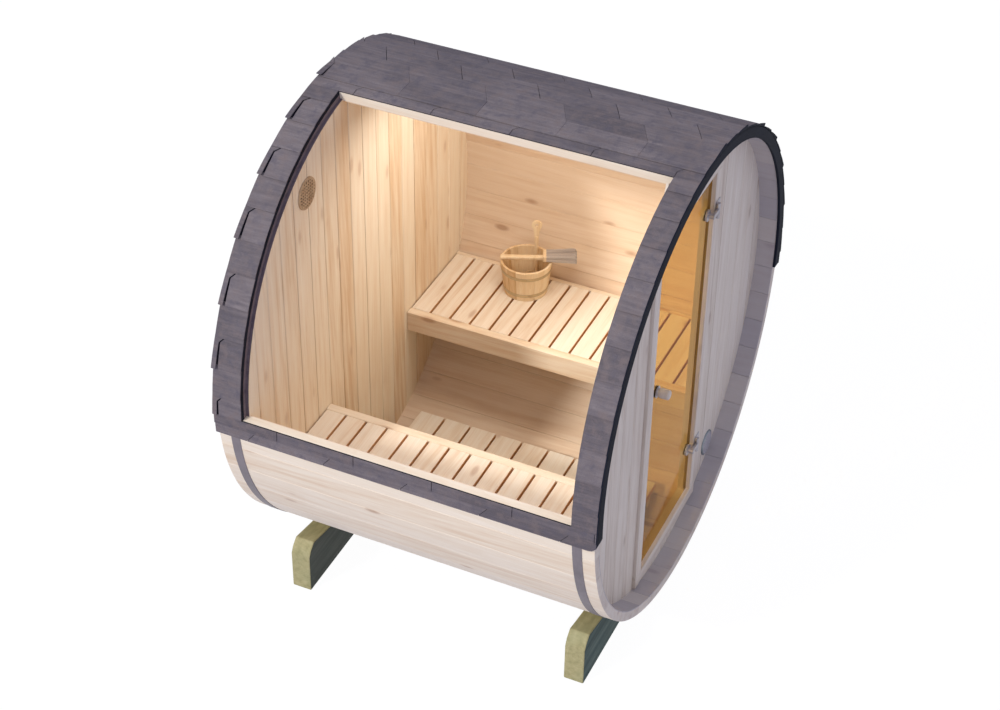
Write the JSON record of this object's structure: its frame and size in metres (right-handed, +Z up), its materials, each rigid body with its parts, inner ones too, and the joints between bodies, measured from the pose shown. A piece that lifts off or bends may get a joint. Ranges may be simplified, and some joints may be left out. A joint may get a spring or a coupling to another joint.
{
  "type": "barrel sauna",
  "caption": "Horizontal wooden barrel sauna on two cradles with a shingled roof, a hinged glass door, slatted benches and a cut-away side that shows the cabin.",
  "frame": {"origin": "on the ground under the middle of the barrel", "axes": "+Z up, Y along the barrel with the door at -Y, the cut-away side at -X"},
  "size_m": [2.0688, 1.624, 2.1503],
  "materials": {
    "treated_wood": "pressure-treated planed wood, green-beige",
    "stave_wood": "planed pale softwood with knots",
    "wall_wood": "planed pale softwood boards",
    "frame_wood": "planed pale softwood",
    "bench_wood": "planed smooth softwood",
    "knob_wood": "turned pale wood",
    "bucket_wood": "turned pale wood",
    "brush_wood": "wood with grey bristles",
    "shingle": "mineral-faced bitumen shingle",
    "roof_edge": "dark matt edge flashing",
    "hoop_steel": "dull grey steel band",
    "hinge_metal": "satin steel",
    "vent_metal": "satin painted metal",
    "bucket_hoop": "thin metal band",
    "door_glass": "bronze-tinted tempered glass"
  },
  "bodies": {
    "sauna": {"cradle_front": "treated_wood", "cradle_back": "treated_wood", "staves_bottom": "stave_wood", "staves_far": "stave_wood", "staves_top": "stave_wood", "staves_near": "stave_wood", "rim_staves_front": "stave_wood", "rim_staves_back": "stave_wood", "hoop_front": "hoop_steel", "hoop_back": "hoop_steel", "roof_top": "shingle", "roof_far": "shingle", "roof_band_front": "shingle", "roof_band_back": "shingle", "roof_eave_near": "shingle", "roof_edge_front": "roof_edge", "roof_edge_back": "roof_edge", "back_wall": "wall_wood", "front_wall_left": "wall_wood", "front_wall_right": "wall_wood", "front_wall_over_door": "wall_wood", "front_wall_under_door": "wall_wood", "door_jamb_left": "frame_wood", "door_jamb_right": "frame_wood", "door_head": "frame_wood", "door_sill": "frame_wood", "door_stops": "frame_wood", "hinge_leaves": "hinge_metal", "far_bench_slats": "bench_wood", "far_bench_rail": "bench_wood", "far_bench_batten": "bench_wood", "far_bench_bearers": "bench_wood", "near_bench_slats": "bench_wood", "near_bench_rail": "bench_wood", "near_bench_batten": "bench_wood", "near_bench_bearers": "bench_wood", "floor_slats": "bench_wood", "floor_bearers": "bench_wood", "back_vent": "vent_metal", "front_vent": "vent_metal", "bucket": "bucket_wood", "bucket_hoops": "bucket_hoop", "ladle": "bucket_wood", "brush": "brush_wood"},
    "door": {"door_glass": "door_glass", "door_knobs": "knob_wood", "hinge_clamps": "hinge_metal"}
  },
  "joints": [
    {"name": "door_swing", "type": "hinge", "parent": "sauna", "child": "door", "pos_m": [0.296, -0.743, 1.12], "axis": [0, 0, 1], "range_deg": [0, 110]}
  ]
}
